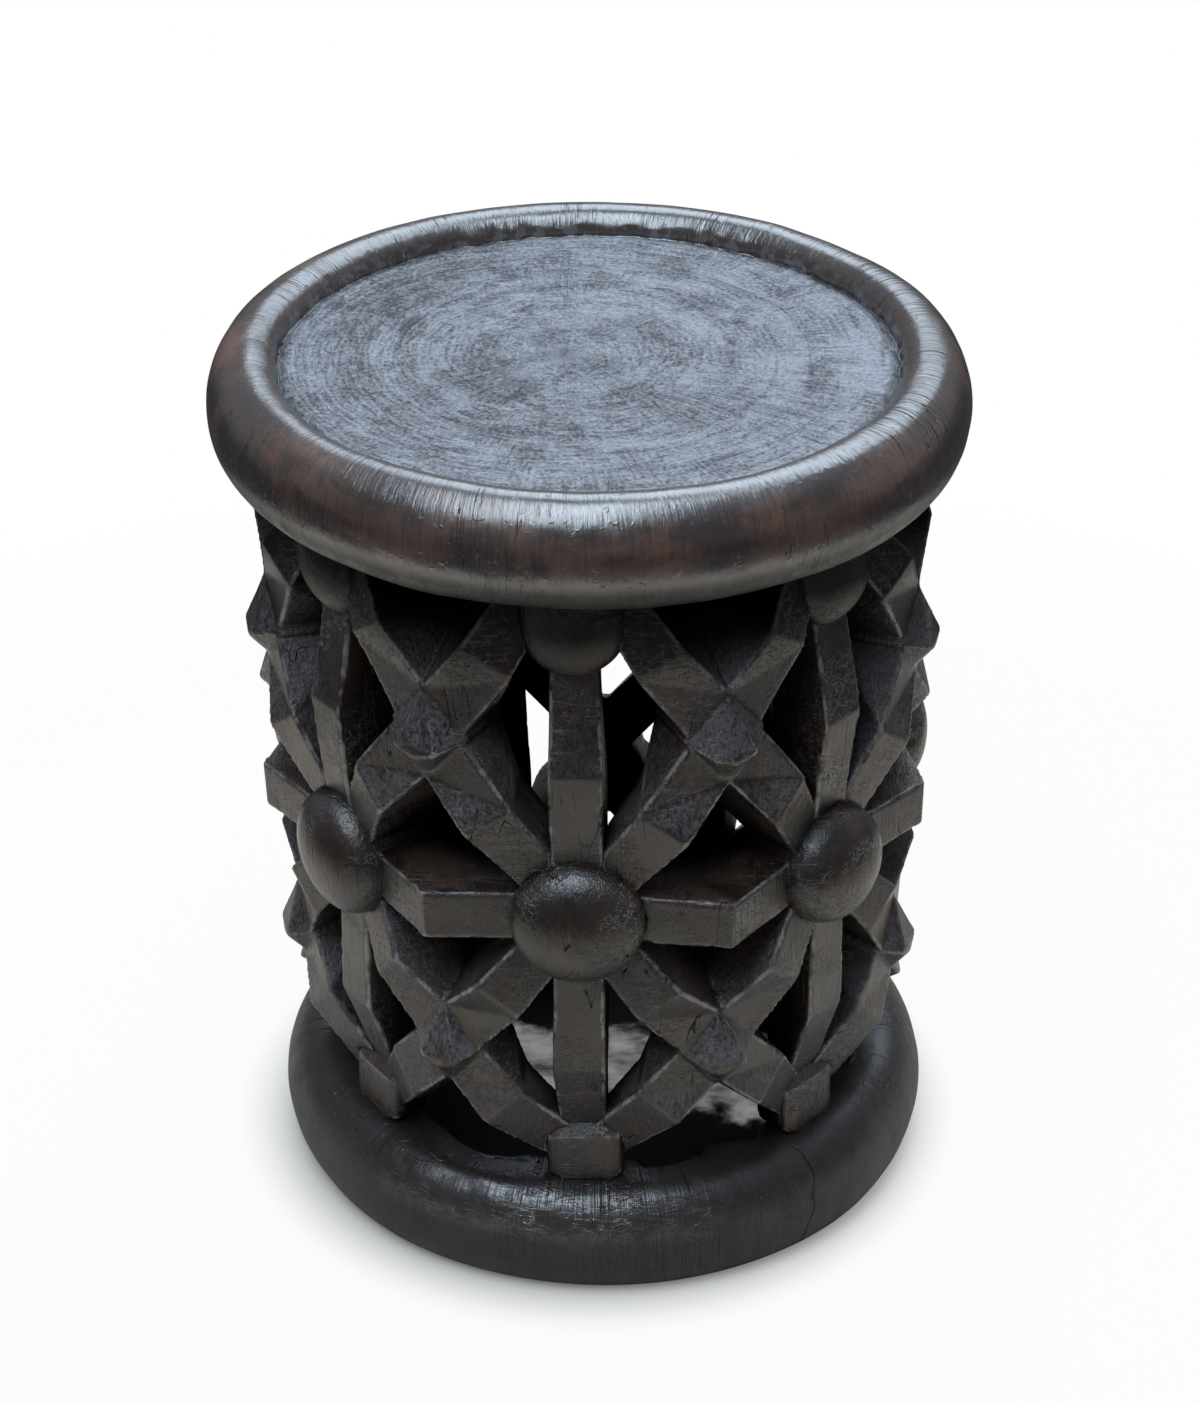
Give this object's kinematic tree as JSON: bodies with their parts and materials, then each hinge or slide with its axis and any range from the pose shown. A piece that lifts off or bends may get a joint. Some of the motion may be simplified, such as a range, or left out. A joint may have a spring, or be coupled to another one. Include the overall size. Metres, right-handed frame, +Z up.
{
  "type": "carved openwork stool",
  "caption": "Round wooden stool with a thick dished seat, an open ring foot and a drum pierced into a lattice of bosses and faceted arms; used as a seat or a low side table.",
  "frame": {"origin": "centre of the foot ring's underside, on the floor", "axes": "+Z up through the seat; the first column of bosses faces -Y, and the columns follow round towards +X"},
  "size_m": [0.38, 0.38, 0.467],
  "materials": {
    "seat_wood": "satin, worn",
    "lattice_wood": "satin",
    "foot_wood": "satin, scuffed"
  },
  "bodies": {
    "root": {"seat": "seat_wood", "foot_ring": "foot_wood", "boss_1": "lattice_wood", "boss_2": "lattice_wood", "boss_3": "lattice_wood", "boss_4": "lattice_wood", "boss_5": "lattice_wood", "boss_6": "lattice_wood", "boss_7": "lattice_wood", "tongue_1": "lattice_wood", "tongue_2": "lattice_wood", "tongue_3": "lattice_wood", "tongue_4": "lattice_wood", "tongue_5": "lattice_wood", "tongue_6": "lattice_wood", "tongue_7": "lattice_wood", "foot_block_1": "lattice_wood", "foot_block_2": "lattice_wood", "foot_block_3": "lattice_wood", "foot_block_4": "lattice_wood", "foot_block_5": "lattice_wood", "foot_block_6": "lattice_wood", "foot_block_7": "lattice_wood", "upper_upright_1": "lattice_wood", "upper_upright_2": "lattice_wood", "upper_upright_3": "lattice_wood", "upper_upright_4": "lattice_wood", "upper_upright_5": "lattice_wood", "upper_upright_6": "lattice_wood", "upper_upright_7": "lattice_wood", "lower_upright_1": "lattice_wood", "lower_upright_2": "lattice_wood", "lower_upright_3": "lattice_wood", "lower_upright_4": "lattice_wood", "lower_upright_5": "lattice_wood", "lower_upright_6": "lattice_wood", "lower_upright_7": "lattice_wood", "level_arm_1": "lattice_wood", "level_arm_2": "lattice_wood", "level_arm_3": "lattice_wood", "level_arm_4": "lattice_wood", "level_arm_5": "lattice_wood", "level_arm_6": "lattice_wood", "level_arm_7": "lattice_wood", "upper_crossing_1": "lattice_wood", "upper_crossing_2": "lattice_wood", "upper_crossing_3": "lattice_wood", "upper_crossing_4": "lattice_wood", "upper_crossing_5": "lattice_wood", "upper_crossing_6": "lattice_wood", "upper_crossing_7": "lattice_wood", "lower_crossing_1": "lattice_wood", "lower_crossing_2": "lattice_wood", "lower_crossing_3": "lattice_wood", "lower_crossing_4": "lattice_wood", "lower_crossing_5": "lattice_wood", "lower_crossing_6": "lattice_wood", "lower_crossing_7": "lattice_wood"}
  },
  "joints": []
}
